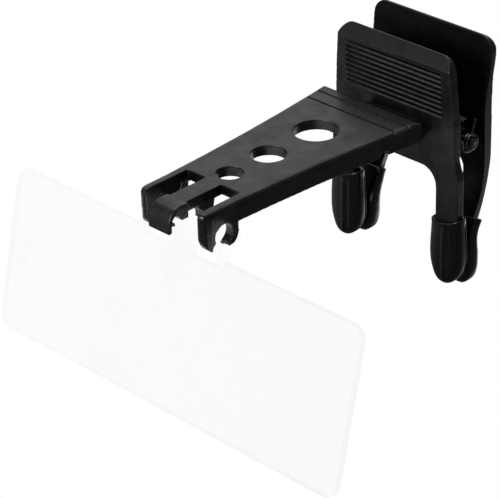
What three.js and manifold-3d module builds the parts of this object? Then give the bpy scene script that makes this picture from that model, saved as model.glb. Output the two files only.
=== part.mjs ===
// Clip-on flip magnifier for glasses.
// Millimetres. X is across the lens (right as seen from the lens side), -Y points
// from the clip to the lens, +Z is up. The origin is the middle of the grip, between
// the four boots.
//
// The mouldings are laid out from the arm datum (front face of the front pinch plate
// at y = 0, top of the arm at z = 0) and moved to the grip origin at the end.
import * as THREE from 'three';
import { mergeVertices } from 'three/addons/utils/BufferGeometryUtils.js';
import Module from 'manifold-3d';

const wasm = await Module();
wasm.setup();

// ---------------------------------------------------------------- dimensions
const SHIFT_Y = -2.82;            // arm datum to grip origin
const SHIFT_Z = 28;

// arm
const ARM_FRONT = -56.2;          // front faces of the outer hooks
const ARM_REAR = -5.84;           // rear face, short of the pinch plate
const ARM_DEPTH = 3.8;            // height of the side flanges
const ARM_TOP_T = 2.0;            // top plate
const FLANGE_T = 1.87;            // side flange
const EDGE_R = 0.9;               // rounded top edges
const ARM_HALF = [                // [y, half width]
  [-5.84, 12.0], [-10, 11.45], [-20, 10.32], [-30, 9.4], [-40, 8.72], [-50, 8.25], [-56.2, 8.2],
];
const HOLES = [[-42.13, 2.46], [-32.65, 3.24], [-20.6, 4.2]];   // [y, radius]
const GROOVES = [-8.63, -11.81];
const GROOVE_W = 0.4;
const GROOVE_D = 0.35;
const SLOT_IN = 1.94;             // slots between the tongue and the rails
const SLOT_OUT = 6.33;
const SLOT_REAR = -46.05;
const TONGUE_FRONT = -55.3;
const HEAD_HALF = 2.5;

// rod and hooks
const ROD_Y = -51.7;
const ROD_Z = -5.2;
const ROD_R = 2.0;
const ROD_HALF = 10.3;
const HOOK_BORE_R = 2.07;
const HOOK_OUT_R = 3.1;

// lens
const LENS_W = 84;
const LENS_H = 30.5;
const LENS_T = 1.5;
const LENS_TILT = 14.16;          // degrees, bottom edge forward
const LENS_R = 2.4;               // corners
const LENS_DROP = 4.0;            // rod axis to lens top edge, along the lens
const WEB_HALF = 3.0;             // middle web
const END_WEB = [8.8, 10.3];      // outer webs
const NOTCH = 1.2;                // notch depth below the lens top edge

// front jaw
const JAW_T = 1.75;
const JAW_HALF = 13.8;
const JAW_TOP = 10.4;
const JAW_LEAN = 0.54;            // plate top leans this far forward
const LEG_IN = 10.2;
const LEG_OUT = 15.42;
const LEG_END = -33.5;
const ARCH_Z = -12.4;
const RIB_Z = [7.0, 5.97, 4.97, 3.98, 2.98, 1.98, 0.95, -0.03, -1.05];   // grooves between ribs
const RIB_HALF = 11.5;
const RIB_D = 0.42;

// rear jaw
const REAR_HALF = 14.2;
const REAR_TOP = 11.25;
const REAR_LEG_IN = 9.35;         // under the arch
const REAR_LEG_TIP_IN = 9.75;     // inside the boot
const REAR_ARCH_Z = -13.1;
const REAR_LEG_Y = 5.02;

// hinge
const PIN_Y = 5.4;
const PIN_Z = -7.5;
const PIN_R = 0.45;
const PIN_HALF = 14.75;
const LUG_R = 1.9;
const FRONT_LUG = [10.4, 12.0];
const REAR_LUG = [8.4, 10.1];
const BOSS_R = 0.82;
const BOSS_END = 14.55;
const WIRE_R = 0.24;
const COIL_R = 1.36;
const COIL_TURNS = 2.25;
const COIL_IN = 12.94;            // coil centre line, inner end
const COIL_OUT = 14.28;           // coil centre line, outer end

// boots
// each sleeve is pushed on to its own depth: x centre, half widths at rim and below,
// half thicknesses at rim and below, pocket half width, rim height, tip height
const FRONT_BOOT_Y = 0.86;
const BOOTS = {
  boot_front_right: { x: 12.5, wRim: 3.58, w: 3.74, dRim: 1.6, d: 1.8, pocket: 3.22, top: -22.0, end: -35.4 },
  boot_front_left: { x: -12.5, wRim: 3.58, w: 3.74, dRim: 1.6, d: 1.8, pocket: 3.22, top: -20.3, end: -34.25 },
  boot_rear_right: { x: 12.25, wRim: 3.25, w: 3.75, dRim: 1.32, d: 2.05, pocket: 2.8, top: -24.1, end: -36.9 },
  boot_rear_left: { x: -12.25, wRim: 3.25, w: 3.75, dRim: 1.32, d: 2.05, pocket: 2.8, top: -21.8, end: -34.8 },
};

// ------------------------------------------------------------------- helpers
function solid(geometry) {
  const g = geometry.index ? geometry.toNonIndexed() : geometry.clone();
  for (const name of Object.keys(g.attributes)) if (name !== 'position') g.deleteAttribute(name);
  const m = mergeVertices(g, 1e-4);
  return new wasm.Manifold(new wasm.Mesh({
    numProp: 3,
    vertProperties: new Float32Array(m.attributes.position.array),
    triVerts: new Uint32Array(m.index.array),
  }));
}

function toGeometry(man) {
  const mesh = man.getMesh();
  const g = new THREE.BufferGeometry();
  g.setAttribute('position', new THREE.BufferAttribute(new Float32Array(mesh.vertProperties), 3));
  g.setIndex(new THREE.BufferAttribute(new Uint32Array(mesh.triVerts), 1));
  const flat = g.toNonIndexed();
  flat.computeVertexNormals();
  return flat;
}

const shapeOf = (pts) => new THREE.Shape(pts.map((p) => new THREE.Vector2(p[0], p[1])));
const YZX = new THREE.Matrix4().set(0, 0, 1, 0, 1, 0, 0, 0, 0, 1, 0, 0, 0, 0, 0, 1);
const XZY = new THREE.Matrix4().set(1, 0, 0, 0, 0, 0, -1, 0, 0, 1, 0, 0, 0, 0, 0, 1);

// (y, z) profile run along X from x0 to x1
function alongX(pts, x0, x1) {
  const g = new THREE.ExtrudeGeometry(shapeOf(pts), { depth: x1 - x0, bevelEnabled: false });
  g.translate(0, 0, x0);
  g.applyMatrix4(YZX);
  return solid(g);
}
// (x, z) outline run along Y from y0 to y1
function alongY(pts, y0, y1) {
  const g = new THREE.ExtrudeGeometry(shapeOf(pts), { depth: y1 - y0, bevelEnabled: false });
  g.translate(0, 0, -y1);
  g.applyMatrix4(XZY);
  return solid(g);
}
// (x, y) outline run along Z from z0 to z1
function alongZ(pts, z0, z1) {
  const g = new THREE.ExtrudeGeometry(shapeOf(pts), { depth: z1 - z0, bevelEnabled: false });
  g.translate(0, 0, z0);
  return solid(g);
}
function box(x0, x1, y0, y1, z0, z1) {
  const g = new THREE.BoxGeometry(x1 - x0, y1 - y0, z1 - z0);
  g.translate((x0 + x1) / 2, (y0 + y1) / 2, (z0 + z1) / 2);
  return solid(g);
}
function cylX(y, z, r, x0, x1, n = 32) {
  const g = new THREE.CylinderGeometry(r, r, x1 - x0, n);
  g.rotateZ(Math.PI / 2);
  g.translate((x0 + x1) / 2, y, z);
  return solid(g);
}
function cylZ(x, y, r, z0, z1, n = 48) {
  const g = new THREE.CylinderGeometry(r, r, z1 - z0, n);
  g.rotateX(Math.PI / 2);
  g.translate(x, y, (z0 + z1) / 2);
  return solid(g);
}
function arc(cx, cy, r, a0, a1, n) {
  const out = [];
  for (let i = 0; i <= n; i += 1) {
    const a = THREE.MathUtils.degToRad(a0 + ((a1 - a0) * i) / n);
    out.push([cx + r * Math.cos(a), cy + r * Math.sin(a)]);
  }
  return out;
}
// smooth line through the points, n steps to a span
function spline(pts, n) {
  const c = new THREE.CatmullRomCurve3(pts.map((p) => new THREE.Vector3(p[0], p[1], 0)), false, 'centripetal');
  const steps = (pts.length - 1) * n;
  const out = [];
  for (let i = 0; i <= steps; i += 1) {
    const v = c.getPoint(i / steps);
    out.push([v.x, v.y]);
  }
  return out;
}
const union = (list) => list.reduce((a, b) => a.add(b));
const cut = (man, list) => list.reduce((a, b) => a.subtract(b), man);
const mirrorPts = (pts) => [...pts, ...pts.map((p) => [-p[0], p[1]]).reverse()];

// ------------------------------------------------------------------ materials
const black = (rough, colour = 0x232529) =>
  new THREE.MeshStandardMaterial({ color: colour, roughness: rough, metalness: 0 });
const MAT = {
  moulding: black(0.55),
  rear: black(0.5, 0x1d1f22),
  boot: black(0.22, 0x121315),
  steel: new THREE.MeshStandardMaterial({ color: 0x8d9094, roughness: 0.32, metalness: 1 }),
  clear: new THREE.MeshStandardMaterial({ color: 0xf4f8f8, roughness: 0.05, metalness: 0 }),
};

// ---------------------------------------------------------------- front frame
function armOutline(inset, front, rear, rounded = inset === 0) {
  const right = [];
  const n = ARM_HALF.length;
  const width = (y) => {
    for (let i = 0; i < n - 1; i += 1) {
      const [ya, wa] = ARM_HALF[i];
      const [yb, wb] = ARM_HALF[i + 1];
      if (y <= ya && y >= yb) return wa + ((wb - wa) * (ya - y)) / (ya - yb);
    }
    return ARM_HALF[n - 1][1];
  };
  right.push([width(rear) - inset, rear]);
  for (const [y, w] of ARM_HALF) if (y < rear - 0.5 && y > front + 0.5) right.push([w - inset, y]);
  const wf = width(front) - inset;
  if (rounded) {
    right.push([wf, front + 1.5]);
    right.push([wf - 0.18, front + 0.75]);
    right.push([wf - 0.55, front + 0.28]);
    right.push([wf - 1.25, front]);
  } else right.push([wf, front]);
  return mirrorPts(right);
}

function makeArm() {
  const pts = armOutline(0, ARM_FRONT, ARM_REAR).reverse();
  const blank = new THREE.ExtrudeGeometry(shapeOf(pts), {
    depth: 6, bevelEnabled: true, bevelThickness: EDGE_R, bevelSize: EDGE_R,
    bevelOffset: -EDGE_R, bevelSegments: 3, curveSegments: 1,
  });
  blank.translate(0, 0, -6 - EDGE_R);
  let arm = solid(blank).intersect(box(-30, 30, -80, 5, -ARM_DEPTH, 1));
  // open underside between the flanges
  const inner = armOutline(FLANGE_T, ARM_FRONT - 2, ARM_REAR - 2.0).reverse();
  arm = arm.subtract(alongZ(inner, -ARM_DEPTH - 1, -ARM_TOP_T));
  const cuts = [];
  for (const [y, r] of HOLES) cuts.push(cylZ(0, y, r, -5, 1, 40));
  for (const y of GROOVES) cuts.push(box(-20, 20, y - GROOVE_W / 2, y + GROOVE_W / 2, -GROOVE_D, 1));
  for (const s of [-1, 1]) {
    const a = Math.min(s * SLOT_IN, s * SLOT_OUT);
    const b = Math.max(s * SLOT_IN, s * SLOT_OUT);
    cuts.push(box(a, b, -70, SLOT_REAR, -6, 2));
    // small step in the lower edge of each flange
    cuts.push(box(s > 0 ? 5 : -20, s > 0 ? 20 : -5, -15.6, -13.6, -5, -2.9));
  }
  cuts.push(box(-SLOT_OUT, SLOT_OUT, -70, TONGUE_FRONT, -6, 2));
  cuts.push(cylX(ROD_Y, ROD_Z, HOOK_BORE_R, -12, 12, 48));
  // inner lower edges of the rails are chamfered
  for (const s of [-1, 1]) {
    const tri = [[6.2, -2.75], [7.45, -3.85], [7.45, -4.2], [6.2, -4.2]].map((p) => [s * p[0], p[1]]);
    cuts.push(alongY(s > 0 ? tri : tri.reverse(), -43.6, -20));
    const notch = [[6.2, -2.15], [7.4, -3.1], [8.3, -3.85], [8.3, -4.2], [6.2, -4.2]].map((p) => [s * p[0], p[1]]);
    cuts.push(alongY(s > 0 ? notch : notch.reverse(), -45.7, -43.7));
  }
  return cut(arm, cuts);
}

function makeHook(x0, x1) {
  const prof = [
    [-54.4, -0.9], [-55.5, -0.9], [-56.2, -1.4], [-56.2, -5.0], [-55.9, -5.9], [-55.3, -6.8], [-54.5, -7.5],
    [-54.2, -6.6],
    ...arc(ROD_Y, ROD_Z, HOOK_BORE_R, 205, -65, 22),
    [-50.6, -7.75], [-50.1, -7.65],
    ...arc(ROD_Y, ROD_Z, HOOK_OUT_R, -50, 0, 6).map((p) => [p[0] + 0.25, p[1]]),
    [-48.3, -3.6], [-47.6, -2.6], [-47.6, -0.9],
  ];
  return alongX(prof, x0, x1);
}

// thin hood curled down over the front of the rod, and the thicker end of the tongue
function makeHead() {
  const prof = [
    ...spline([
      [-54.4, -0.02], [-55.6, 0.08], [-56.6, 0.08], [-57.4, -0.12], [-58.1, -0.62], [-58.6, -1.3], [-58.95, -2.1],
      [-59.1, -3.0], [-59.15, -4.35],
    ], 2),
    [-58.4, -4.35],
    ...spline([[-58.3, -3.1], [-58.15, -2.3], [-57.9, -1.75], [-57.4, -1.45], [-56.9, -1.6], [-56.3, -2.3]], 2),
    [-56.0, -2.7], [-54.4, -2.7],
  ];
  const claw = [[-58.6, -2.7], [-56.5, -3.5], [-56.3, -4.0], [-56.55, -4.15], [-58.6, -3.6]];
  return alongX(prof, -HEAD_HALF, HEAD_HALF).add(alongX(claw, -HEAD_HALF, 1.2));
}

// claw under the tongue that bears on the back of the rod
function makeClaw() {
  const prof = [
    [-50.9, -1.6], [-46.8, -1.6], [-47.4, -4.6], [-48.2, -5.6], [-49.0, -6.0],
    ...arc(ROD_Y, ROD_Z, HOOK_BORE_R + 0.1, -15, 62, 9), [-50.9, -2.6],
  ].reverse();
  return alongX(prof, -1.2, 1.2);
}

function makeFrontPlate() {
  const side = [
    [0, LEG_END], [0, -3], [-JAW_LEAN, 8.1], [0.98, JAW_TOP - 0.1], [1.12, JAW_TOP], [1.3, JAW_TOP],
    [1.5, 9.8], [JAW_T, -3], [JAW_T, LEG_END],
  ].reverse();
  const r = 2.8;
  const top = 13.5;
  const half = [
    ...arc(top - r, JAW_TOP - r, r, 90, 0, 6),
    [14.05, 2.3], [14.45, -3.0], [14.5, -9.8], [14.85, -11.0], [15.25, -12.1], [LEG_OUT, -13.2],
    [LEG_OUT, -31.6], [LEG_OUT - 1.6, LEG_END], [LEG_IN + 1.2, LEG_END], [LEG_IN, -32.3],
    ...arc(LEG_IN - 3.5, ARCH_Z - 3.5, 3.5, 0, 90, 6),
  ];
  const outline = mirrorPts(half);
  let plate = alongX(side, -20, 20).intersect(alongY(outline.reverse(), -6, 6));
  // saw-tooth grooves: a flat ledge below, the face above it sloping back out
  const face = (z) => -(z + 3) * (JAW_LEAN / 11.1);
  const cuts = RIB_Z.map((z) => alongX([
    [-2, z - 0.3], [face(z) + RIB_D, z - 0.27], [face(z) + RIB_D, z - 0.12],
    [face(z + 0.45), z + 0.45], [-2, z + 0.45],
  ], -RIB_HALF, RIB_HALF));
  plate = cut(plate, cuts);
  return plate;
}

function makeFrontFrame() {
  const neck = [[-8, -1.0], [-14, -3.0], [-14, -3.75], [0.6, -8.6], [0.6, -4.2], [-5.84, -1.0]];
  const lug = [
    [1.2, -4.7], [2.4, -5.2], ...arc(PIN_Y, PIN_Z, LUG_R, 70, -100, 14), [2.2, -10.4], [1.2, -10.6],
  ].reverse();
  const parts = [
    makeArm(),
    makeHook(SLOT_OUT, 8.2).add(makeHook(-8.2, -SLOT_OUT))
      .intersect(alongZ(armOutline(0.1, ARM_FRONT, ARM_REAR, true).reverse(), -12, 0)),
    makeHead(),
    makeClaw(),
    alongX(neck, -6, 6),
    makeFrontPlate(),
  ];
  const bores = [];
  for (const s of [-1, 1]) {
    const [a, b] = s > 0 ? FRONT_LUG : [-FRONT_LUG[1], -FRONT_LUG[0]];
    parts.push(alongX(lug, a, b));
    parts.push(s > 0 ? cylX(PIN_Y, PIN_Z, BOSS_R, b - 0.2, BOSS_END) : cylX(PIN_Y, PIN_Z, BOSS_R, -BOSS_END, a + 0.2));
    bores.push(s > 0 ? cylX(PIN_Y, PIN_Z, PIN_R + 0.02, a - 1, BOSS_END + 1) : cylX(PIN_Y, PIN_Z, PIN_R + 0.02, -BOSS_END - 1, b + 1));
  }
  return cut(union(parts), bores);
}

// ------------------------------------------------------------------- rear jaw
// middle line of the rear leg where the boot is, [y, z] from the top down
const REAR_CENTRE = [[8.15, -20.6], [7.6, -22.1], [6.75, -23.9], [5.87, -25.3], [5.32, -26.6], [REAR_LEG_Y, -28.0], [REAR_LEG_Y, -33.5]];

function makeRearJaw() {
  const side = [
    ...spline([
      [10.62, 10.95], [10.42, 9.4], [9.9, 4.3], [8.9, -0.3], [8.72, -5.4], [8.9, -10.5], [8.6, -16.6], [7.6, -20.2],
      [6.9, -21.75], [6.02, -23.5], [5.2, -24.9], [4.56, -26.2], [4.22, -27.4], [4.17, -29.0],
    ], 3),
    [4.17, LEG_END], [5.87, LEG_END],
    ...spline([
      [5.87, -29.0], [5.92, -27.8], [6.2, -26.7], [6.72, -25.6], [7.48, -24.25], [8.27, -22.5], [8.95, -20.8],
      [10.0, -17.2], [10.45, -15.0], [10.85, -12.3], [10.87, -7], [10.8, -1], [11.0, 3.9], [11.5, 6.7],
      [11.72, 8.6], [11.68, 10.0], [11.35, 11.05], [11.0, REAR_TOP],
    ], 3),
  ];
  const r = 2.8;
  const half = [
    ...arc(REAR_HALF - r, REAR_TOP - r, r, 90, 0, 6),
    [REAR_HALF, -32.0], [REAR_HALF - 1.4, LEG_END],
    [REAR_LEG_TIP_IN + 1.2, LEG_END], [REAR_LEG_TIP_IN, -32.3], [REAR_LEG_TIP_IN, -21.2], [REAR_LEG_IN, -18.6],
    ...arc(REAR_LEG_IN - 2.8, REAR_ARCH_Z - 2.8, 2.8, 0, 90, 6),
  ];
  const outline = mirrorPts(half);
  let jaw = alongX(side, -20, 20).intersect(alongY(outline.reverse(), 2, 14));
  const lug = [
    [9.6, -5.0], [7.6, -5.55], ...arc(PIN_Y, PIN_Z, LUG_R, 100, 280, 14), [8.0, -10.9], [9.6, -11.6],
  ];
  for (const s of [-1, 1]) {
    const [a, b] = s > 0 ? REAR_LUG : [-REAR_LUG[1], -REAR_LUG[0]];
    jaw = jaw.add(alongX(lug, a, b));
  }
  jaw = jaw.subtract(cylX(PIN_Y, PIN_Z, PIN_R + 0.05, -11, 11));
  // thumb ribs on the outer face
  const cuts = RIB_Z.map((z) => {
    const y = z > 3.9 ? 11.0 + (z - 3.9) * 0.175 : 10.8 + (z + 1) * 0.04;
    const g = new THREE.BoxGeometry(2 * RIB_HALF, 2 * 0.4, 0.5);
    g.rotateX(z > 3.9 ? -0.17 : -0.04);
    g.translate(0, y, z);
    return solid(g);
  });
  return cut(jaw, cuts);
}

// ------------------------------------------------------------------- springs
// short front leg behind the front plate, coil on the boss, rear leg up the rear jaw
class SpringPath extends THREE.Curve {
  constructor(side) {
    super();
    const pts = [[COIL_OUT, 2.36, -6.2], [COIL_OUT, 2.42, -7.4], [COIL_OUT, 2.95, -8.45], [COIL_OUT, 4.1, -8.84]];
    const steps = 36;
    for (let i = 0; i <= steps; i += 1) {
      const a = 1.5 * Math.PI + (2 * Math.PI * COIL_TURNS * i) / steps;
      pts.push([COIL_OUT + ((COIL_IN - COIL_OUT) * i) / steps, PIN_Y + COIL_R * Math.cos(a), PIN_Z + COIL_R * Math.sin(a)]);
    }
    pts.push([COIL_IN, 6.95, -6.1], [COIL_IN - 0.02, 7.4, -5.0], [COIL_IN - 0.04, 7.75, -4.1]);
    this.curve = new THREE.CatmullRomCurve3(pts.map((p) => new THREE.Vector3(side * p[0], p[1], p[2])), false, 'centripetal');
  }

  getPoint(t, target = new THREE.Vector3()) {
    return this.curve.getPoint(t, target);
  }
}

function makeSpring(side) {
  const ring = arc(0, 0, WIRE_R, 0, 360, 8).slice(0, 8);
  const g = new THREE.ExtrudeGeometry(shapeOf(ring), {
    steps: 96, bevelEnabled: false, extrudePath: new SpringPath(side),
  });
  return solid(g);
}

// --------------------------------------------------------------------- boots
const lerp = (a, b, t) => a + (b - a) * Math.min(1, Math.max(0, t));

// tongue outline across X, from the rim to the tip
function bootOutline(b) {
  const { wRim, w, top, end } = b;
  const right = [
    [wRim, top - 0.4], [wRim, top - 1.5], [lerp(wRim, w, 0.6), top - 4], [w, top - 6], [w, end + 5.4],
    [w - 0.22, end + 4.0], [w - 0.8, end + 2.3], [w - 1.6, end + 1.05], [w - 2.6, end + 0.25], [w - 3.3, end],
  ];
  const half = [[0, top - 0.45], [wRim - 1.5, top - 0.3], [wRim - 0.5, top], ...right];
  const left = half.slice(1).map((p) => [-p[0], p[1]]).reverse();
  return [...half, ...left];
}

// band about the middle line c ([y, z] from the top down), half thickness from half(z)
function strip(c, half) {
  const front = [];
  const back = [];
  for (let i = 0; i < c.length; i += 1) {
    const a = c[Math.max(0, i - 1)];
    const b = c[Math.min(c.length - 1, i + 1)];
    const ty = b[0] - a[0];
    const tz = b[1] - a[1];
    const l = Math.hypot(ty, tz);
    const h = half(c[i][1]);
    front.push([c[i][0] + (tz / l) * h, c[i][1] - (ty / l) * h]);
    back.push([c[i][0] - (tz / l) * h, c[i][1] + (ty / l) * h]);
  }
  return [...front, ...back.reverse()];
}

function makeBoot(name) {
  const b = BOOTS[name];
  const rear = name.includes('rear');
  const line = (top, bottom) => (rear
    ? [[8.15 + (top + 20.6) * 0.3, top], ...REAR_CENTRE.filter((p) => p[1] < top - 0.8 && p[1] > bottom + 0.3), [REAR_LEG_Y, bottom]]
    : [[FRONT_BOOT_Y, top], [FRONT_BOOT_Y, b.top - 6.5], [FRONT_BOOT_Y, bottom]]);
  const tip = (z) => (z < b.end + 1.6 ? Math.sqrt(Math.max(0.02, 1 - ((b.end + 1.6 - z) / 1.75) ** 2)) : 1);
  const c = line(-19.2, b.end + 2.2);
  for (const dz of [1.6, 1.0, 0.5, 0.2, 0]) c.push([rear ? REAR_LEG_Y : FRONT_BOOT_Y, b.end + dz]);
  const prof = strip(c, (z) => lerp(b.dRim, b.d, (b.top - z) / 6) * tip(z));
  const r = 1.0;
  const g = new THREE.ExtrudeGeometry(shapeOf(prof), {
    depth: 2 * b.w - 2 * r, bevelEnabled: true, bevelThickness: r, bevelSize: 0.75,
    bevelOffset: -0.75, bevelSegments: 4,
  });
  g.translate(0, 0, -b.w + r);
  g.applyMatrix4(YZX);
  let body = solid(g).intersect(alongY(bootOutline(b).reverse(), -5, 20));
  const grow = rear ? 1.12 : 1.16;
  const pocket = strip(line(-18, LEG_END - 0.35), () => grow);
  const inner = [
    [b.pocket, b.top + 4], [b.pocket, -31.9], [b.pocket - 1.5, LEG_END - 0.35],
    [-b.pocket + 1.5, LEG_END - 0.35], [-b.pocket, -31.9], [-b.pocket, b.top + 4],
  ].reverse();
  body = body.subtract(alongX(pocket, -8, 8).intersect(alongY(inner, -5, 20)));
  return body.translate([b.x, 0, 0]);
}

// ---------------------------------------------------------------------- lens
function makeLens() {
  // built hanging straight down from the rod at the origin, front face toward -Y
  const front = -ROD_R + 0.02;
  const back = front + LENS_T;
  const top = -LENS_DROP;
  const low = top - LENS_H;
  const hw = LENS_W / 2;
  const r = LENS_R;
  const outline = [
    ...arc(hw - r, top - r, r, 0, 90, 6), ...arc(-hw + r, top - r, r, 90, 180, 6),
    ...arc(-hw + r, low + r, r, 180, 270, 6), ...arc(hw - r, low + r, r, 270, 360, 6),
  ];
  let lens = alongY(outline, front, back);
  for (const s of [-1, 1]) {
    const a = s > 0 ? WEB_HALF : -END_WEB[0];
    const b = s > 0 ? END_WEB[0] : -WEB_HALF;
    lens = lens.subtract(box(a, b, front - 1, back + 1, top - NOTCH, top + 2));
    const c = s > 0 ? END_WEB[0] : -END_WEB[1];
    const d = s > 0 ? END_WEB[1] : -END_WEB[0];
    lens = lens.add(box(c, d, front, back, top - 1, 0));
  }
  lens = lens.add(box(-WEB_HALF, WEB_HALF, front, back, top - 1, 0));
  lens = lens.add(cylX(0, 0, ROD_R, -ROD_HALF, ROD_HALF, 40));
  lens = lens.rotate([-LENS_TILT, 0, 0]);
  return lens.translate([0, ROD_Y, ROD_Z]);
}

// ------------------------------------------------------------------ assembly
const root = new THREE.Group();
root.name = 'clip_on_flip_magnifier';

function addNode(name, man, material) {
  const mesh = new THREE.Mesh(toGeometry(man.translate([0, SHIFT_Y, SHIFT_Z])), material);
  mesh.name = name;
  root.add(mesh);
}

addNode('front_frame', makeFrontFrame(), MAT.moulding);
addNode('rear_jaw', makeRearJaw(), MAT.rear);
addNode('hinge_pin', cylX(PIN_Y, PIN_Z, PIN_R, -PIN_HALF, PIN_HALF, 24), MAT.steel);
addNode('torsion_spring_right', makeSpring(1), MAT.steel);
addNode('torsion_spring_left', makeSpring(-1), MAT.steel);
for (const name of Object.keys(BOOTS)) addNode(name, makeBoot(name), MAT.boot);
addNode('lens', makeLens(), MAT.clear);

export default root;
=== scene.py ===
import bpy
import bmesh
import math
from mathutils import Matrix, Vector


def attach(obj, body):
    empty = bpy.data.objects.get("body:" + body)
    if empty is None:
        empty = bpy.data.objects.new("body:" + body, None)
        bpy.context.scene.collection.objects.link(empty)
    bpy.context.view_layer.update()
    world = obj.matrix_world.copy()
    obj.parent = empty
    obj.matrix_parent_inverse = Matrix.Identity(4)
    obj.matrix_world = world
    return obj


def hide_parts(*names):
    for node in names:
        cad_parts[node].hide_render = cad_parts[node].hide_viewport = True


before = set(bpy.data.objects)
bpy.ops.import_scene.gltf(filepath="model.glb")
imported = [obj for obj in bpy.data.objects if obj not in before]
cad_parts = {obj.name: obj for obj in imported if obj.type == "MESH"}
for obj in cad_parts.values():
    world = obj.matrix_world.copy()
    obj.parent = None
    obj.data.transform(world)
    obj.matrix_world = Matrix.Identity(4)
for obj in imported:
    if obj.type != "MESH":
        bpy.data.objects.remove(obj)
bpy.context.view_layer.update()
MM = 0.001
SY, SZ = -2.82, 28.0          # arm datum to grip origin, mm
scene = bpy.context.scene
scene.view_settings.view_transform = "Standard"
scene.view_settings.look = "None"


# ------------------------------------------------------------------ mesh tools
def P(x, y, z):
    """Arm-datum millimetres to grip-origin millimetres."""
    return (x, y + SY, z + SZ)


def link(name, mesh):
    ob = bpy.data.objects.new(name, mesh)
    scene.collection.objects.link(ob)
    return ob


def mesh_from(name, verts, faces):
    me = bpy.data.meshes.new(name)
    me.from_pydata([tuple(v) for v in verts], [], faces)
    me.validate()
    me.update()
    return me


def bake_modifiers(ob):
    dg = bpy.context.evaluated_depsgraph_get()
    dg.update()
    me = bpy.data.meshes.new_from_object(ob.evaluated_get(dg))
    ob.modifiers.clear()
    old = ob.data
    ob.data = me
    bpy.data.meshes.remove(old)
    return ob


def to_metres(ob):
    ob.data.transform(Matrix.Scale(MM, 4))
    ob.data.update()
    return ob


def smooth(ob, angle=None):
    for p in ob.data.polygons:
        p.use_smooth = True
    if angle is not None:
        ob.data.set_sharp_from_angle(angle=math.radians(angle))
    return ob


def recalc(ob):
    bm = bmesh.new()
    bm.from_mesh(ob.data)
    bmesh.ops.recalc_face_normals(bm, faces=bm.faces)
    bm.to_mesh(ob.data)
    bm.free()
    return ob


def moulded(node, name, voxel, rounds, keep, crisp):
    """A finer stand-in of a CAD moulding: same walls, edges softened the way a moulding's are.
    crisp(x, y, z) in arm-datum millimetres says where fine moulded detail keeps its corners."""
    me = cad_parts[node].data.copy()
    me.materials.clear()
    me.transform(Matrix.Scale(1 / MM, 4))
    ob = link(name, me)
    bm = bmesh.new()
    bm.from_mesh(ob.data)
    bmesh.ops.remove_doubles(bm, verts=bm.verts, dist=1e-4)
    bm.to_mesh(ob.data)
    bm.free()
    m = ob.modifiers.new("r", "REMESH")
    m.mode = "VOXEL"
    m.voxel_size = voxel
    m.adaptivity = 0
    bake_modifiers(ob)
    soft = ob.vertex_groups.new(name="soft")
    soft.add([v.index for v in ob.data.vertices if not crisp(v.co.x, v.co.y - SY, v.co.z - SZ)], 1.0, "REPLACE")
    s = ob.modifiers.new("s1", "SMOOTH")
    s.factor = 0.5
    s.iterations = 1
    s = ob.modifiers.new("s2", "SMOOTH")
    s.factor = 0.5
    s.iterations = rounds
    s.vertex_group = "soft"
    d = ob.modifiers.new("d", "DECIMATE")
    d.ratio = keep
    d.vertex_group = "soft"
    bake_modifiers(ob)
    ob.vertex_groups.clear()
    smooth(ob, 50)
    w = ob.modifiers.new("w", "WEIGHTED_NORMAL")
    w.mode = "FACE_AREA"
    w.weight = 60
    w.keep_sharp = True
    bake_modifiers(ob)
    to_metres(ob)
    return ob


def loft(name, rings, cap_start=True, cap_end=True):
    n = len(rings[0])
    verts = [p for ring in rings for p in ring]
    faces = []
    for i in range(len(rings) - 1):
        a, b = i * n, (i + 1) * n
        for j in range(n):
            k = (j + 1) % n
            faces.append((a + j, a + k, b + k, b + j))
    if cap_start:
        verts.append(tuple(sum(c) / n for c in zip(*rings[0])))
        c = len(verts) - 1
        faces += [(c, (j + 1) % n, j) for j in range(n)]
    if cap_end:
        verts.append(tuple(sum(c) / n for c in zip(*rings[-1])))
        c = len(verts) - 1
        a = (len(rings) - 1) * n
        faces += [(c, a + j, a + (j + 1) % n) for j in range(n)]
    ob = link(name, mesh_from(name, verts, faces))
    return recalc(ob)


# ------------------------------------------------------------------- materials
def node_material(name):
    m = bpy.data.materials.new(name)
    m.use_nodes = True
    nt = m.node_tree
    nt.nodes.clear()
    out = nt.nodes.new("ShaderNodeOutputMaterial")
    bs = nt.nodes.new("ShaderNodeBsdfPrincipled")
    nt.links.new(bs.outputs[0], out.inputs[0])
    return m, nt, bs, out


def tex_coord(nt, scale):
    tc = nt.nodes.new("ShaderNodeTexCoord")
    mp = nt.nodes.new("ShaderNodeMapping")
    mp.inputs["Scale"].default_value = scale
    nt.links.new(tc.outputs["Object"], mp.inputs[0])
    return mp.outputs[0]


def noise(nt, vec, scale, detail=3.0, rough=0.5):
    n = nt.nodes.new("ShaderNodeTexNoise")
    n.inputs["Scale"].default_value = scale
    n.inputs["Detail"].default_value = detail
    n.inputs["Roughness"].default_value = rough
    nt.links.new(vec, n.inputs["Vector"])
    return n.outputs[0]


def ramp(nt, fac, stops):
    r = nt.nodes.new("ShaderNodeValToRGB")
    el = r.color_ramp.elements
    while len(el) < len(stops):
        el.new(0.5)
    for e, (pos, col) in zip(el, stops):
        e.position = pos
        e.color = (*col, 1.0)
    nt.links.new(fac, r.inputs[0])
    return r.outputs[0]


def maprange(nt, fac, a, b, c, d):
    r = nt.nodes.new("ShaderNodeMapRange")
    r.inputs["From Min"].default_value = a
    r.inputs["From Max"].default_value = b
    r.inputs["To Min"].default_value = c
    r.inputs["To Max"].default_value = d
    nt.links.new(fac, r.inputs["Value"])
    return r.outputs[0]


def bump(nt, bs, height, strength, distance):
    b = nt.nodes.new("ShaderNodeBump")
    b.inputs["Strength"].default_value = strength
    b.inputs["Distance"].default_value = distance
    nt.links.new(height, b.inputs["Height"])
    nt.links.new(b.outputs[0], bs.inputs["Normal"])
    return b


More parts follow.
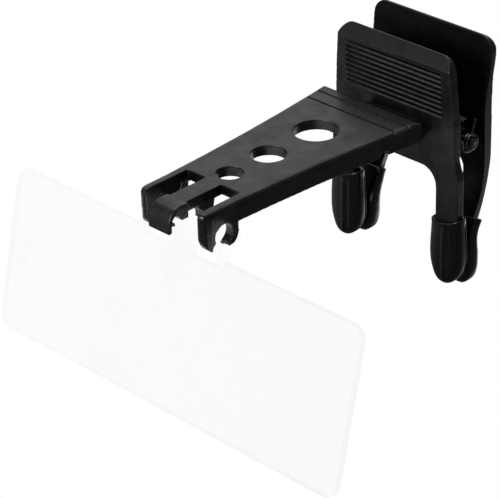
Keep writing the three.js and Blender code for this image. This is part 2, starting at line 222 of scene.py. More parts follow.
def mix_colour(nt, fac, a, b, mode="MIX"):
    m = nt.nodes.new("ShaderNodeMix")
    m.data_type = "RGBA"
    m.blend_type = mode
    nt.links.new(fac, m.inputs["Factor"])
    for sock, v in ((m.inputs[6], a), (m.inputs[7], b)):
        if isinstance(v, tuple):
            sock.default_value = (*v, 1.0)
        else:
            nt.links.new(v, sock)
    return m.outputs[2]


def times(nt, a, b):
    m = nt.nodes.new("ShaderNodeMath")
    m.operation = "MULTIPLY"
    for sock, v in zip(m.inputs, (a, b)):
        if isinstance(v, float):
            sock.default_value = v
        else:
            nt.links.new(v, sock)
    return m.outputs[0]


RIB_FIRST, RIB_STEP, RIB_COUNT = -1.05, 1.00625, 9      # lowest rib and pitch, arm-datum mm


def rib_masks(nt, vec, y_from, y_to, facing):
    """Crest and groove masks of the thumb ribs: the crests painted pale as a painted highlight, the grooves painted
    dark as painted shade, both fading at the ends.
    """
    sep = nt.nodes.new("ShaderNodeSeparateXYZ")
    nt.links.new(vec, sep.inputs[0])
    tc = nt.nodes.new("ShaderNodeTexCoord")
    nsep = nt.nodes.new("ShaderNodeSeparateXYZ")
    nt.links.new(tc.outputs["Normal"], nsep.inputs[0])
    outside = maprange(nt, nsep.outputs["Y"], -0.5 * facing, -0.3 * facing, 0.0, 1.0)

    def band(sock, a0, a1, b1, b0):
        return times(nt, maprange(nt, sock, a0, a1, 0.0, 1.0), maprange(nt, sock, b1, b0, 1.0, 0.0))

    zone = times(nt, times(nt, band(sep.outputs["X"], -11.7, -11.3, 11.3, 11.7), outside),
                 times(nt, band(sep.outputs["Y"], y_from - 0.05, y_from, y_to, y_to + 0.05),
                       band(sep.outputs["Z"], SZ + RIB_FIRST - 0.62, SZ + RIB_FIRST - 0.58,
                            SZ + RIB_FIRST + (RIB_COUNT - 1) * RIB_STEP + 0.5, SZ + RIB_FIRST + (RIB_COUNT - 1) * RIB_STEP + 0.55)))
    ph = nt.nodes.new("ShaderNodeMath")
    ph.operation = "MULTIPLY_ADD"
    ph.inputs[1].default_value = 1 / RIB_STEP
    ph.inputs[2].default_value = -(SZ + RIB_FIRST - 0.60) / RIB_STEP
    nt.links.new(sep.outputs["Z"], ph.inputs[0])
    fr = nt.nodes.new("ShaderNodeMath")
    fr.operation = "FRACT"
    nt.links.new(ph.outputs[0], fr.inputs[0])
    crest_highlight = times(nt, band(fr.outputs[0], 0.0, 0.06, 0.30, 0.36), zone)
    painted_crease_shade = times(nt, band(fr.outputs[0], 0.32, 0.40, 0.86, 0.98), zone)
    fade = maprange(nt, sep.outputs["X"], -11.0, -3.0, 0.05, 1.0)
    crest_patches = maprange(nt, noise(nt, vec, 1.6, 4, 0.65), 0.36, 0.62, 0.3, 1.0)
    return times(nt, crest_highlight, times(nt, fade, crest_patches)), times(nt, painted_crease_shade, maprange(nt, sep.outputs["X"], -11.7, -5.0, 0.15, 1.0))


def painted_slot_shade(nt, vec):
    """Mask of the walls inside the arm's two long slots, painted darker and less glossy as painted shade."""
    sep = nt.nodes.new("ShaderNodeSeparateXYZ")
    nt.links.new(vec, sep.inputs[0])
    wide = nt.nodes.new("ShaderNodeMath")
    wide.operation = "ABSOLUTE"
    nt.links.new(sep.outputs["X"], wide.inputs[0])
    rail = times(nt, maprange(nt, wide.outputs[0], 6.0, 6.15, 0.0, 1.0), maprange(nt, wide.outputs[0], 6.42, 6.5, 1.0, 0.0))
    tongue = times(nt, maprange(nt, wide.outputs[0], 1.7, 1.8, 0.0, 1.0), maprange(nt, wide.outputs[0], 6.42, 6.5, 1.0, 0.0))
    rail_run = times(nt, maprange(nt, sep.outputs["Y"], -56.0 + SY, -55.4 + SY, 0.0, 1.0),
                     maprange(nt, sep.outputs["Y"], -45.95 + SY, -45.9 + SY, 1.0, 0.0))
    slot_run = times(nt, maprange(nt, sep.outputs["Y"], -50.4 + SY, -50.2 + SY, 0.0, 1.0),
                     maprange(nt, sep.outputs["Y"], -45.95 + SY, -45.9 + SY, 1.0, 0.0))
    either = nt.nodes.new("ShaderNodeMath")
    either.operation = "MAXIMUM"
    nt.links.new(times(nt, rail, rail_run), either.inputs[0])
    nt.links.new(times(nt, tongue, slot_run), either.inputs[1])
    below = maprange(nt, sep.outputs["Z"], SZ - 0.45, SZ - 0.2, 1.0, 0.0)
    return times(nt, either.outputs[0], below)


def plastic(name, dark, light, rough, grain, grain_depth, edge, edge_highlight_colour, spec, ribs, inner_sheen_shade=False, slots=False):
    """Black moulded plastic: spark-eroded grain, blotchy sheen, convex edges painted paler as a painted highlight,
    creases painted darker as painted shade.
    """
    m, nt, bs, out = node_material(name)
    vec = tex_coord(nt, (1000, 1000, 1000))
    drift = noise(nt, vec, 0.30, 5, 0.62)
    col = ramp(nt, drift, [(0.36, dark), (0.66, light)])
    geo = nt.nodes.new("ShaderNodeNewGeometry")
    # painted highlight: convex edges are painted paler in patches, in place of thin highlight lines along the edges
    point = maprange(nt, geo.outputs["Pointiness"], 0.54, 0.62, 0.0, edge)
    edge_glint_patches = maprange(nt, noise(nt, vec, 1.1, 4, 0.6), 0.35, 0.70, 0.2, 1.0)
    col = mix_colour(nt, times(nt, point, edge_glint_patches), col, edge_highlight_colour)
    # painted shade: concave creases are darkened towards near black, and their sheen is cut too
    painted_crease_shade = maprange(nt, geo.outputs["Pointiness"], 0.38, 0.46, 0.15, 1.0)
    col = mix_colour(nt, painted_crease_shade, (0.0012, 0.0012, 0.0013), col)
    slot_shade = None
    # painted shade: the walls inside the arm's slots are painted darker and given less sheen
    if slots:
        slot_shade = painted_slot_shade(nt, vec)
        col = mix_colour(nt, slot_shade, col, (0.0014, 0.0014, 0.0015))
    crest_highlight, groove_shade = rib_masks(nt, vec, *ribs)
    # painted shade: the rib grooves are painted near black, and their sheen is cut
    col = mix_colour(nt, groove_shade, col, (0.0014, 0.0014, 0.0015))
    # painted highlight: the rib crests are painted pale in patches
    col = mix_colour(nt, crest_highlight, col, RIB_CREST_HIGHLIGHT)
    nt.links.new(col, bs.inputs["Base Color"])
    fine = noise(nt, vec, grain, 2, 0.6)
    r = nt.nodes.new("ShaderNodeMath")
    r.operation = "ADD"
    nt.links.new(maprange(nt, drift, 0.3, 0.7, rough + 0.06, rough - 0.04), r.inputs[0])
    nt.links.new(maprange(nt, fine, 0.3, 0.7, -0.03, 0.03), r.inputs[1])
    nt.links.new(r.outputs[0], bs.inputs["Roughness"])
    sheen = times(nt, maprange(nt, drift, 0.32, 0.68, spec * 0.72, spec * 1.22), painted_crease_shade)
    sheen = times(nt, sheen, maprange(nt, groove_shade, 0.0, 1.0, 1.0, 0.25))
    if slots:
        sheen = times(nt, sheen, maprange(nt, slot_shade, 0.0, 1.0, 1.0, 0.35))
    if inner_sheen_shade:
        # painted shade: the faces turned towards the front plate lose most of their sheen
        tc = nt.nodes.new("ShaderNodeTexCoord")
        sep = nt.nodes.new("ShaderNodeSeparateXYZ")
        nt.links.new(tc.outputs["Normal"], sep.inputs[0])
        sheen = times(nt, sheen, maprange(nt, sep.outputs["Y"], -0.75, -0.35, 0.12, 1.0))
    nt.links.new(sheen, bs.inputs["Specular IOR Level"])
    skin = noise(nt, vec, 0.85, 3, 0.6)
    both = nt.nodes.new("ShaderNodeMath")
    both.operation = "MULTIPLY_ADD"
    both.inputs[1].default_value = 4.0
    nt.links.new(skin, both.inputs[0])
    nt.links.new(fine, both.inputs[2])
    bump(nt, bs, both.outputs[0], 0.6, grain_depth * MM)
    return m


# colour of the painted highlight on the rib crests
RIB_CREST_HIGHLIGHT = (0.052, 0.052, 0.054)
MOULD = plastic("black_moulding", (0.0032, 0.0033, 0.0037), (0.0088, 0.0089, 0.0097), 0.31, 5.5, 0.008, 0.8,
                (0.055, 0.055, 0.058), 0.46, (-4.2, -2.15, -1), slots=True)
REAR = plastic("black_moulding_rear", (0.0022, 0.0022, 0.0025), (0.0052, 0.0052, 0.0057), 0.32, 5.5, 0.005, 0.6,
               (0.045, 0.045, 0.047), 0.62, (7.2, 10.5, 1), inner_sheen_shade=True)


def boot_material():
    """Dipped soft vinyl: nearly black, glossy, faint flow ripples, a few less glossy patches and a painted highlight
    down one edge of each front sleeve.
    """
    m, nt, bs, out = node_material("black_boot")
    vec = tex_coord(nt, (1000, 1000, 1000))
    drift = noise(nt, vec, 0.35, 4, 0.5)
    # painted highlight: the parting edge down one side of each front sleeve, where the surface faces right and back,
    # is painted pale
    tc = nt.nodes.new("ShaderNodeTexCoord")
    dot = nt.nodes.new("ShaderNodeVectorMath")
    dot.operation = "DOT_PRODUCT"
    nt.links.new(tc.outputs["Normal"], dot.inputs[0])
    dot.inputs[1].default_value = (0.88, 0.475, 0.0)
    sep = nt.nodes.new("ShaderNodeSeparateXYZ")
    nt.links.new(vec, sep.inputs[0])
    boot_edge_highlight = maprange(nt, dot.outputs["Value"], 0.78, 0.93, 0.0, 1.0)
    for lim in (maprange(nt, sep.outputs["Y"], -0.35, 0.05, 1.0, 0.0), maprange(nt, sep.outputs["X"], -5.0, 5.0, 0.3, 1.0)):
        mul = nt.nodes.new("ShaderNodeMath")
        mul.operation = "MULTIPLY"
        nt.links.new(boot_edge_highlight, mul.inputs[0])
        nt.links.new(lim, mul.inputs[1])
        boot_edge_highlight = mul.outputs[0]
    highlight_mix = nt.nodes.new("ShaderNodeMix")
    highlight_mix.data_type = "RGBA"
    nt.links.new(boot_edge_highlight, highlight_mix.inputs["Factor"])
    nt.links.new(ramp(nt, drift, [(0.3, (0.0016, 0.0016, 0.0018)), (0.7, (0.0034, 0.0034, 0.0038))]), highlight_mix.inputs[6])
    highlight_mix.inputs[7].default_value = (0.085, 0.085, 0.087, 1.0)
    nt.links.new(highlight_mix.outputs[2], bs.inputs["Base Color"])
    nt.links.new(maprange(nt, drift, 0.3, 0.7, 0.13, 0.22), bs.inputs["Roughness"])
    bs.inputs["Specular IOR Level"].default_value = 0.5
    ripple = noise(nt, tex_coord(nt, (1000, 1000, 350)), 0.9, 3, 0.55)
    bump(nt, bs, ripple, 0.35, 0.05 * MM)
    return m


def steel_material():
    """Oiled spring wire, dark between its highlights."""
    m, nt, bs, out = node_material("steel_wire")
    vec = tex_coord(nt, (1000, 1000, 1000))
    n = noise(nt, vec, 2.5, 4, 0.6)
    nt.links.new(ramp(nt, n, [(0.3, (0.07, 0.07, 0.072)), (0.7, (0.20, 0.20, 0.204))]), bs.inputs["Base Color"])
    nt.links.new(maprange(nt, n, 0.3, 0.7, 0.2, 0.34), bs.inputs["Roughness"])
    bs.inputs["Metallic"].default_value = 1.0
    bump(nt, bs, noise(nt, vec, 8.0, 2, 0.5), 0.3, 0.01 * MM)
    return m


def clear_material(name, tint, rough, haze, ior, coat):
    """Clear moulded sheet with faint cloudy handling marks, a little more towards one end."""
    m, nt, bs, out = node_material(name)
    vec = tex_coord(nt, (1000, 1000, 1000))
    wide = noise(nt, vec, 0.075, 4, 0.6)
    fine = noise(nt, vec, 0.42, 4, 0.65)
    both = nt.nodes.new("ShaderNodeMath")
    both.operation = "MULTIPLY_ADD"
    both.inputs[1].default_value = 0.55
    nt.links.new(fine, both.inputs[0])
    half = nt.nodes.new("ShaderNodeMath")
    half.operation = "MULTIPLY"
    half.inputs[1].default_value = 0.45
    nt.links.new(wide, half.inputs[0])
    nt.links.new(half.outputs[0], both.inputs[2])
    sep = nt.nodes.new("ShaderNodeSeparateXYZ")
    nt.links.new(vec, sep.inputs[0])
    drift = maprange(nt, sep.outputs["X"], -42.0, 42.0, 0.09, -0.13)
    tot = nt.nodes.new("ShaderNodeMath")
    nt.links.new(both.outputs[0], tot.inputs[0])
    nt.links.new(drift, tot.inputs[1])
    lo = tuple(c * (1 - haze) for c in tint)
    nt.links.new(ramp(nt, tot.outputs[0], [(0.36, lo), (0.60, tint)]), bs.inputs["Base Color"])
    nt.links.new(maprange(nt, both.outputs[0], 0.3, 0.7, rough + 0.02, rough), bs.inputs["Roughness"])
    bs.inputs["Transmission Weight"].default_value = 1.0
    # seen nearly edge on, the faces stay clear in place of mirroring the dim studio
    slant = nt.nodes.new("ShaderNodeLayerWeight")
    slant.inputs["Blend"].default_value = 0.5
    nt.links.new(maprange(nt, slant.outputs["Facing"], 0.62, 0.86, ior, 1.002), bs.inputs["IOR"])
    nt.links.new(maprange(nt, slant.outputs["Facing"], 0.62, 0.86, coat, 0.0), bs.inputs["Coat Weight"])
    bs.inputs["Coat Roughness"].default_value = 0.04
    bump(nt, bs, wide, 0.05, 0.01 * MM)
    return m


BOOT = boot_material()
STEEL = steel_material()
CLEAR = clear_material("clear_plastic", (0.990, 0.990, 0.991), 0.01, 0.036, 1.06, 0.3)
# the darker tint of the rim faces is painted shade of the lens's darker edge lines
EDGE = clear_material("clear_plastic_edge", (0.94, 0.942, 0.945), 0.05, 0.05, 1.015, 0.2)
ROD = clear_material("clear_plastic_rod", (0.992, 0.992, 0.993), 0.0, 0.01, 1.008, 0.12)


def finish_piece(ob, mats, body, nodes=()):
    ob.data.materials.clear()
    for mm in mats:
        ob.data.materials.append(mm)
    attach(ob, body)
    if nodes:
        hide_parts(*nodes)
    return ob


# ------------------------------------------------------------------- mouldings
VOX = 0.1


def front_crisp(x, y, z):
    """Thumb ribs of the front plate and the two grooves across the arm."""
    ribs = abs(x) < 12.0 and -1.7 < z < 7.7 and -1.2 < y < 0.6
    return ribs or (z > -0.6 and -12.4 < y < -8.0)


def rear_crisp(x, y, z):
    return abs(x) < 12.0 and -1.7 < z < 7.5 and y > 10.3 + 0.05 * z


front = moulded("front_frame", "front_moulding", VOX, 5, 0.2, front_crisp)
finish_piece(front, [MOULD], "clip", ["front_frame"])
rear = moulded("rear_jaw", "rear_moulding", VOX, 5, 0.28, rear_crisp)
finish_piece(rear, [REAR], "jaw", ["rear_jaw"])


# ----------------------------------------------------------------------- boots
def superellipse(a, b, e_out, e_in, n):
    """Section points, local +y is the grip side (flatter, exponent e_in)."""
    pts = []
    for i in range(n):
        t = 2 * math.pi * i / n
        c, s = math.cos(t), math.sin(t)
        e = e_in if s > 0 else e_out
        pts.append((a * math.copysign(abs(c) ** (2 / e), c), b * math.copysign(abs(s) ** (2 / e), s)))
    return pts


def boot(name, spec, path, grip_sign, node, body):
    """A dipped sleeve drawn over a leg tip. path: [(y, z)] middle line from above the rim
    down to the tip; the rim is scalloped, the grip side flat with a raised parting lip."""
    n = 128
    cx, w_rim, w, d_rim, d, rim, end = (spec[k] for k in ("x", "w_rim", "w", "d_rim", "d", "rim", "end"))
    wall = 0.5
    out = 1 if cx > 0 else -1
    ln = [0.0]
    for a, b in zip(path, path[1:]):
        ln.append(ln[-1] + math.hypot(b[0] - a[0], b[1] - a[1]))
    total = ln[-1]

    def at(s):
        s = max(0.0, min(total, s))
        for i in range(len(path) - 1):
            if s <= ln[i + 1] + 1e-9:
                f = (s - ln[i]) / (ln[i + 1] - ln[i])
                a, b = path[i], path[i + 1]
                return (a[0] + (b[0] - a[0]) * f, a[1] + (b[1] - a[1]) * f)
        return path[-1]

    def axis(s):
        a, b = at(s - 0.6), at(s + 0.6)
        ty, tz = b[0] - a[0], b[1] - a[1]
        l = math.hypot(ty, tz)
        return ty / l, tz / l

    start = next(s for s in (k * 0.05 for k in range(400)) if at(s)[1] <= rim)
    length = total - start

    def half(s):
        """Half width and half thickness at distance s below the rim."""
        t = min(1.0, max(0.0, s) / 7.0)
        t = t * t * (3 - 2 * t)
        hw, hd = w_rim + (w - w_rim) * t, d_rim + (d - d_rim) * min(1.0, max(0.0, s) / 6.0)
        left = length - s
        if left < spec["taper"]:
            q = 1 - left / spec["taper"]
            hw *= max(0.0, 1 - q ** spec["nose"]) ** (1 / spec["nose"])
        if left < 1.9:
            q = 1 - left / 1.9
            hd *= max(0.0, 1 - q ** 2.2) ** (1 / 2.2)
        return hw, hd

    def scallop(px, py, s):
        """How far a point near the rim sits above the mean rim: dips at the outer face's
        middle, rises at the corners and towards the outer side."""
        if s > 5.0:
            return 0.0
        fade = (1 - s / 5.0) ** 2
        u = px / w_rim
        dip = -0.55 * (1 - min(1.0, abs(u)) ** 2) * (1.0 if py < 0 else 0.25)
        return fade * (dip + spec["tilt"] * u * out + 0.25)

    def fold(px, py, hw):
        """Lengthwise draw folds on the outer face: a soft ridge near the middle, a shallow trough beside it."""
        if py > 0:
            return 0.0
        u = px / hw * (1 if grip_sign > 0 else -1)
        return 0.20 * math.exp(-((u - 0.10) / 0.085) ** 2) - 0.12 * math.exp(-((u - 0.34) / 0.12) ** 2)

    def ring(s, hw, hd, lift=0.0, rim_s=None, lip=0.0, folds=0.0):
        y, z = at(start + s)
        ty, tz = axis(start + s)
        ny, nz = -tz, ty
        pts = []
        for px, py in superellipse(hw, hd, 2.35, 4.2, n):
            up = lift + scallop(px, py, s if rim_s is None else rim_s)
            grow = 1.0
            if lip:
                # parting lip where the side turns into the grip face
                grow += lip * math.exp(-((py / hd - 0.66) / 0.10) ** 2)
            q = (py - folds * fold(px, py, hw)) * grip_sign
            pts.append(P(cx + px * grow, y + ny * q - ty * up, z + nz * q - tz * up))
        return pts

    rings = []
    depth = length - 2.2
    for s, f in ((depth, 0.25), (depth - 0.25, 0.6), (depth - 0.9, 0.88), (depth - 2.2, 1.0), (3.0, 1.0), (1.2, 1.0), (0.5, 1.0)):
        hw, hd = half(min(s, length - spec["taper"]))
        rings.append(ring(s, (hw - wall) * f, (hd - wall) * f))
    hw0, hd0 = half(0.3)
    for k in range(0, 9):
        a = math.pi * k / 8
        u = 0.5 - 0.5 * math.cos(a)
        rings.append(ring(0.25, hw0 - wall + (wall + 0.06) * u, hd0 - wall + (wall + 0.06) * u, lift=0.28 * math.sin(a), rim_s=0.0))
    steps = 44
    for i in range(1, steps):
        s = 0.3 + (length - 0.3) * (1 - (1 - i / steps) ** 1.25)
        hw, hd = half(s)
        bead = 0.05 * math.exp(-((s - 0.45) / 0.4) ** 2)
        fade = min(1.0, max(0.0, (s - 0.6) / 1.5)) * min(1.0, max(0.0, (length - 0.5 - s) / 1.5))
        rings.append(ring(s, hw + bead, hd + bead, lip=spec["lip"] * fade, folds=fade))
    for left in (0.12, 0.05, 0.015):
        hw, hd = half(length - left)
        rings.append(ring(length - left, hw, hd))
    ob = loft(name, rings)
    smooth(ob)
    to_metres(ob)
    return finish_piece(ob, [BOOT], body, [node])


def down(points, step=0.4):
    """Rounds a middle line off and resamples it."""
    pts = [Vector((p[0], p[1])) for p in points]
    for _ in range(3):
        new = [pts[0]]
        for a, b in zip(pts, pts[1:]):
            new += [a * 0.75 + b * 0.25, a * 0.25 + b * 0.75]
        new.append(pts[-1])
        pts = new
    return [tuple(p) for p in pts]


FRONT = dict(w_rim=3.48, w=3.74, d_rim=1.6, d=1.8, taper=6.0, nose=1.95, lip=0.06)
REARB = dict(w_rim=3.2, w=3.75, d_rim=1.34, d=2.03, taper=5.4, nose=2.2, lip=0.018)
BOOTS = {
    "boot_front_right": dict(FRONT, x=12.5, rim=-22.0, end=-35.38, tilt=0.75),
    "boot_front_left": dict(FRONT, x=-12.5, rim=-20.35, end=-34.23, tilt=-0.45),
    "boot_rear_right": dict(REARB, x=12.25, rim=-24.1, end=-36.88, tilt=0.35),
    "boot_rear_left": dict(REARB, x=-12.25, rim=-21.9, end=-34.78, tilt=0.2),
}
for name, spec in BOOTS.items():
    if "front" in name:
        path = [(0.86, -18.0), (0.86, -24), (0.86, -30), (0.86, spec["end"])]
        boot(name + "_sleeve", spec, path, 1, name, "clip")
    else:
        path = down([(9.0, -18.4), (8.15, -20.6), (7.6, -22.1), (6.75, -23.9), (5.8, -25.4), (5.2, -26.8),
                     (5.02, -28.2), (5.02, -30.0), (5.02, -33.5)]) + [(5.02, spec["end"])]
        boot(name + "_sleeve", spec, path, -1, name, "jaw")


# ----------------------------------------------------------------------- hinge
PIN_Y, PIN_Z, PIN_R, PIN_HALF = 5.4, -7.5, 0.45, 14.75
COIL_R, WIRE_R, TURNS, COIL_IN, COIL_OUT = 1.36, 0.24, 2.25, 12.94, 14.28


def tube(name, pts, radius, sides=20, round_ends=True):
    """Round wire along a list of points, with domed ends."""
    pts = [Vector(p) for p in pts]
    t0 = (pts[1] - pts[0]).normalized()
    up = Vector((1, 0, 0)) if abs(t0.x) < 0.9 else Vector((0, 0, 1))
    nrm = (up - t0 * up.dot(t0)).normalized()
    rings = []
    frames = []
    for i, p in enumerate(pts):
        a = pts[max(0, i - 1)]
        b = pts[min(len(pts) - 1, i + 1)]
        t = (b - a).normalized()
        nrm = (nrm - t * nrm.dot(t)).normalized()
        frames.append((p, t, nrm.copy(), t.cross(nrm)))

    def ring(p, n1, n2, r):
        return [tuple(p + n1 * (r * math.cos(2 * math.pi * j / sides)) + n2 * (r * math.sin(2 * math.pi * j / sides))) for j in range(sides)]

    p, t, n1, n2 = frames[0]
    if round_ends:
        for q in (0.12, 0.4, 0.75):
            rings.append(ring(p - t * radius * 0.5 * math.sqrt(1 - q * q), n1, n2, radius * q))
    for p, t, n1, n2 in frames:
        rings.append(ring(p, n1, n2, radius))
    p, t, n1, n2 = frames[-1]
    if round_ends:
        for q in (0.75, 0.4, 0.12):
            rings.append(ring(p + t * radius * 0.5 * math.sqrt(1 - q * q), n1, n2, radius * q))
    ob = loft(name, rings)
    return smooth(ob)


def catmull(points, n=6):
    pts = [Vector(p) for p in points]
    out = []
    for i in range(len(pts) - 1):
        p0, p1, p2, p3 = pts[max(0, i - 1)], pts[i], pts[i + 1], pts[min(len(pts) - 1, i + 2)]
        for k in range(n):
            t = k / n
            out.append(0.5 * ((2 * p1) + (p2 - p0) * t + (2 * p0 - 5 * p1 + 4 * p2 - p3) * t * t + (3 * p1 - p0 - 3 * p2 + p3) * t ** 3))
    out.append(pts[-1])
    return out


def coil_point(i, steps):
    a = 1.5 * math.pi + 2 * math.pi * TURNS * i / steps
    return (COIL_OUT + (COIL_IN - COIL_OUT) * i / steps, PIN_Y + COIL_R * math.cos(a), PIN_Z + COIL_R * math.sin(a))


STEPS = 108
for side, sx in (("right", 1), ("left", -1)):
    lead = catmull([(COIL_OUT, 2.36, -6.2), (COIL_OUT, 2.42, -7.4), (COIL_OUT, 2.95, -8.45), (COIL_OUT, 4.1, -8.84), coil_point(0, STEPS)], 7)[:-1]
    pts = [P(sx * x, y, z) for x, y, z in [tuple(v) for v in lead] + [coil_point(i, STEPS) for i in range(STEPS + 1)]]
    coil = tube(f"spring_coil_{side}", pts, WIRE_R)
    to_metres(coil)
    finish_piece(coil, [STEEL], "clip", [f"torsion_spring_{side}"])
    # the rear leg starts inside the last part of the coil, so it stays joined as the jaw turns
    back = int(STEPS / TURNS * 30 / 360) + 1
    tail = [coil_point(i, STEPS) for i in range(STEPS - back, STEPS)]
    tail += [tuple(v) for v in catmull([coil_point(STEPS, STEPS), (COIL_IN, 6.95, -6.1), (COIL_IN - 0.02, 7.4, -5.0), (COIL_IN - 0.04, 7.75, -4.1)], 6)]
    tail = tube(f"spring_tail_{side}", [P(sx * x, y, z) for x, y, z in tail], WIRE_R * 0.985)
    to_metres(tail)
    finish_piece(tail, [STEEL], "jaw")


def turned(name, profile, n=64):
    """Profile [(x, r)] about the X axis through the pin."""
    rings = []
    for x, r in profile:
        rings.append([P(x, PIN_Y + r * math.cos(2 * math.pi * j / n), PIN_Z + r * math.sin(2 * math.pi * j / n)) for j in range(n)])
    ob = loft(name, rings)
    return smooth(ob, 40)


h = PIN_HALF
pin = turned("hinge_pin_turned", [
    (-h, 0.25), (-h + 0.02, 0.34), (-h + 0.14, PIN_R), (-h + 0.3, PIN_R), (0, PIN_R),
    (h - 0.3, PIN_R), (h - 0.14, PIN_R), (h - 0.02, 0.34), (h, 0.25)], 48)
to_metres(pin)
finish_piece(pin, [STEEL], "clip", ["hinge_pin"])


# ------------------------------------------------------------------------ lens
def make_lens():
    rod_r, half_rod = 2.0, 10.3
    frontf, thick = -1.98, 1.5
    hw, top, low, r = 42.0, -4.0, -34.5, 2.4
    web, e0, e1, notch = 3.0, 8.8, 10.3, 1.2

    def arc(cx, cz, a0, a1, rr=r, n=10):
        return [(cx + rr * math.cos(math.radians(a0 + (a1 - a0) * i / n)), cz + rr * math.sin(math.radians(a0 + (a1 - a0) * i / n))) for i in range(n + 1)]

    nr = 0.45
    right = [(web, 0.0)]
    right += [(web, top - notch + nr)] + arc(web + nr, top - notch + nr, 180, 270, nr, 4)[1:]
    right += arc(e0 - nr, top - notch + nr, 270, 360, nr, 4)
    right += [(e0, 0.0), (e1, 0.0), (e1, top + 0.3)] + arc(e1 + 0.3, top + 0.3, 180, 270, 0.3, 3)[1:]
    right += arc(hw - r, top - r, 90, 0)
    right += arc(hw - r, low + r, 0, -90)
    left = [(-x, z) for x, z in reversed(right)]
    outline = right + left
    bm = bmesh.new()
    fv = [bm.verts.new((x, frontf, z)) for x, z in outline]
    bv = [bm.verts.new((x, frontf + thick, z)) for x, z in outline]
    bm.faces.new(fv)
    bm.faces.new(list(reversed(bv)))
    n = len(outline)
    for i in range(n):
        j = (i + 1) % n
        bm.faces.new((fv[j], fv[i], bv[i], bv[j]))
    bmesh.ops.recalc_face_normals(bm, faces=bm.faces)
    bm.normal_update()
    edges = [e for e in bm.edges if len(e.link_faces) == 2 and
             any(len(f.verts) > 8 for f in e.link_faces) and not all(len(f.verts) > 8 for f in e.link_faces)]
    bmesh.ops.bevel(bm, geom=edges, offset=0.12, segments=2, profile=0.6, affect="EDGES")
    me = bpy.data.meshes.new("lens_plate")
    bm.to_mesh(me)
    bm.free()
    plate = link("lens_clear", me)
    rings = []
    seg = 72
    for x, rr in ((-half_rod, rod_r - 0.22), (-half_rod + 0.06, rod_r - 0.09), (-half_rod + 0.2, rod_r), (half_rod - 0.2, rod_r), (half_rod - 0.06, rod_r - 0.09), (half_rod, rod_r - 0.22)):
        rings.append([(x, rr * math.cos(2 * math.pi * j / seg), rr * math.sin(2 * math.pi * j / seg)) for j in range(seg)])
    rod = loft("rod_tmp", rings)
    mod = plate.modifiers.new("b", "BOOLEAN")
    mod.operation = "UNION"
    mod.solver = "EXACT"
    mod.object = rod
    bake_modifiers(plate)
    bpy.data.objects.remove(rod)
    plate.data.transform(Matrix.Rotation(math.radians(-14.16), 4, "X"))
    plate.data.transform(Matrix.Translation(P(0, -51.7, -5.2)))
    plate.data.update()
    return plate


lens = make_lens()
# rim faces get a darker tint: painted shade of the lens's darker edge lines
nrm = Vector((0, -math.cos(math.radians(14.16)), math.sin(math.radians(14.16))))
rod_c = Vector(P(0, -51.7, -5.2))
lens.data.materials.clear()
rim = []
for p in lens.data.polygons:
    d = p.center - rod_c
    far = math.hypot(d.y, d.z) > 3.4
    rim.append((1 if abs(p.normal.dot(nrm)) < 0.55 else 0) if far else 2)
smooth(lens, 28)
to_metres(lens)
finish_piece(lens, [CLEAR, EDGE, ROD], "lens_body", ["lens"])
for p, k in zip(lens.data.polygons, rim):
    p.material_index = k


# ---------------------------------------------------------------------- studio
def area(name, loc, target, size, power, colour=(1, 1, 1), size_y=None):
    l = bpy.data.lights.new(name, "AREA")
    l.shape = "RECTANGLE"
    l.size = size
    l.size_y = size_y or size
    l.energy = power
    l.color = colour
    ob = bpy.data.objects.new(name, l)
    scene.collection.objects.link(ob)
    ob.location = loc
    ob.visible_camera = False
    ob.visible_transmission = False
    ob.rotation_mode = "QUATERNION"
    ob.rotation_quaternion = (Vector(target) - Vector(loc)).to_track_quat("-Z", "Y")
    return ob


def see_or_light(nt, seen, lit):
    """seen for what the camera looks at directly or through the lens, lit for what falls on the object."""
    lp = nt.nodes.new("ShaderNodeLightPath")
    mx = nt.nodes.new("ShaderNodeMath")
    mx.operation = "MAXIMUM"
    nt.links.new(lp.outputs["Is Camera Ray"], mx.inputs[0])
    nt.links.new(lp.outputs["Is Transmission Ray"], mx.inputs[1])
    mr = nt.nodes.new("ShaderNodeMix")
    mr.data_type = "FLOAT"
    nt.links.new(mx.outputs[0], mr.inputs["Factor"])
    if isinstance(lit, float):
        mr.inputs[2].default_value = lit
    else:
        nt.links.new(lit, mr.inputs[2])
    mr.inputs[3].default_value = seen
    return mr.outputs[0]


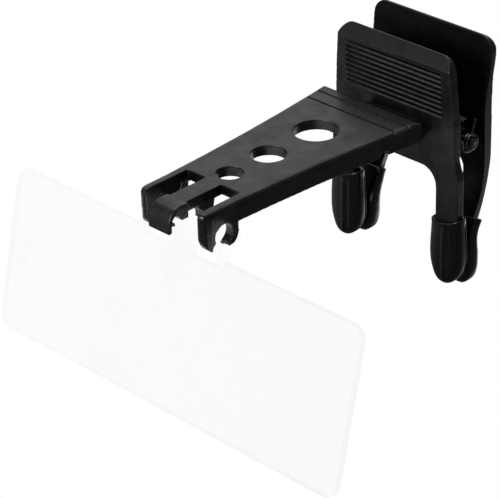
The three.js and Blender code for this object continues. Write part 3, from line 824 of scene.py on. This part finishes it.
def stage():
    me = mesh_from("floor", [(-3, -3, 0), (3, -3, 0), (3, 3, 0), (-3, 3, 0)], [(0, 1, 2, 3)])
    fl = link("floor", me)
    fl.location = (0, 0, -0.06)
    m = bpy.data.materials.new("floor_white")
    m.use_nodes = True
    nt = m.node_tree
    nt.nodes.clear()
    out = nt.nodes.new("ShaderNodeOutputMaterial")
    em = nt.nodes.new("ShaderNodeEmission")
    em.inputs["Color"].default_value = (1, 1, 1, 1)
    # the sheet it stands on: a bright patch behind the clip, dim in front, dimmest at the right
    tc = nt.nodes.new("ShaderNodeTexCoord")
    dist = nt.nodes.new("ShaderNodeVectorMath")
    dist.operation = "DISTANCE"
    nt.links.new(tc.outputs["Object"], dist.inputs[0])
    dist.inputs[1].default_value = (0.003, 0.124, 0.0)
    patch = nt.nodes.new("ShaderNodeMapRange")
    patch.interpolation_type = "SMOOTHSTEP"
    for key, val in (("From Min", 0.082), ("From Max", 0.045), ("To Min", 0.0), ("To Max", FLOOR_BACK)):
        patch.inputs[key].default_value = val
    nt.links.new(dist.outputs["Value"], patch.inputs["Value"])
    sep = nt.nodes.new("ShaderNodeSeparateXYZ")
    nt.links.new(tc.outputs["Object"], sep.inputs[0])
    side = maprange(nt, sep.outputs["X"], -0.125, -0.055, FLOOR_LEFT, FLOOR_LIT)
    add = nt.nodes.new("ShaderNodeMath")
    nt.links.new(patch.outputs[0], add.inputs[0])
    nt.links.new(side, add.inputs[1])
    nt.links.new(see_or_light(nt, 1.0, add.outputs[0]), em.inputs["Strength"])
    nt.links.new(em.outputs[0], out.inputs[0])
    me.materials.append(m)
    w = bpy.data.worlds.new("studio") if not scene.world else scene.world
    scene.world = w
    w.use_nodes = True
    nt = w.node_tree
    bg = nt.nodes.get("Background")
    bg.inputs[0].default_value = (1, 1, 1, 1)
    # a broad soft panel high behind the left of the clip, dim walls elsewhere
    tc = nt.nodes.new("ShaderNodeTexCoord")
    dot = nt.nodes.new("ShaderNodeVectorMath")
    dot.operation = "DOT_PRODUCT"
    nt.links.new(tc.outputs["Generated"], dot.inputs[0])
    dot.inputs[1].default_value = Vector(PANEL_DIR).normalized()
    mr = nt.nodes.new("ShaderNodeMapRange")
    mr.interpolation_type = "SMOOTHSTEP"
    mr.inputs["From Min"].default_value = PANEL_FROM
    mr.inputs["From Max"].default_value = PANEL_TO
    mr.inputs["To Min"].default_value = WALL_LIT
    mr.inputs["To Max"].default_value = PANEL_LIT
    nt.links.new(dot.outputs["Value"], mr.inputs["Value"])
    nt.links.new(see_or_light(nt, 1.0, mr.outputs[0]), bg.inputs[1])


FLOOR_LIT = 0.09
FLOOR_LEFT = 0.28
FLOOR_BACK = 2.2
WALL_LIT = 0.13
PANEL_LIT = 0.76
PANEL_DIR = (-0.62, 0.61, 0.49)
PANEL_FROM, PANEL_TO = 0.45, 0.85
stage()
area("key_top", (-0.10, 0.02, 0.45), (0, -0.02, 0.02), 0.30, 0.9)
area("front_fill", (-0.03, -0.46, 0.19), (0, 0.0, 0.01), 0.2, 2.2)


# ---------------------------------------------------------------------- camera
def camera():
    az, el, roll = math.radians(45.65), math.radians(29.60), math.radians(-1.82)
    right = Vector((math.cos(az), math.sin(az), 0))
    fwd = Vector((-math.sin(az) * math.cos(el), math.cos(az) * math.cos(el), -math.sin(el)))
    up = right.cross(fwd)
    r2 = right * math.cos(roll) + up * math.sin(roll)
    u2 = -right * math.sin(roll) + up * math.cos(roll)
    c = bpy.data.cameras.new("camera")
    c.sensor_width = 36.0
    c.lens = 2376.2 * 36.0 / 500.0
    c.clip_start, c.clip_end = 0.01, 20
    ob = bpy.data.objects.new("camera", c)
    scene.collection.objects.link(ob)
    m = Matrix.Identity(4)
    for i in range(3):
        m[i][0], m[i][1], m[i][2] = r2[i], u2[i], -fwd[i]
    m[0][3], m[1][3], m[2][3] = 0.25962, -0.29449, 0.21742
    ob.matrix_world = m
    scene.camera = ob


camera()
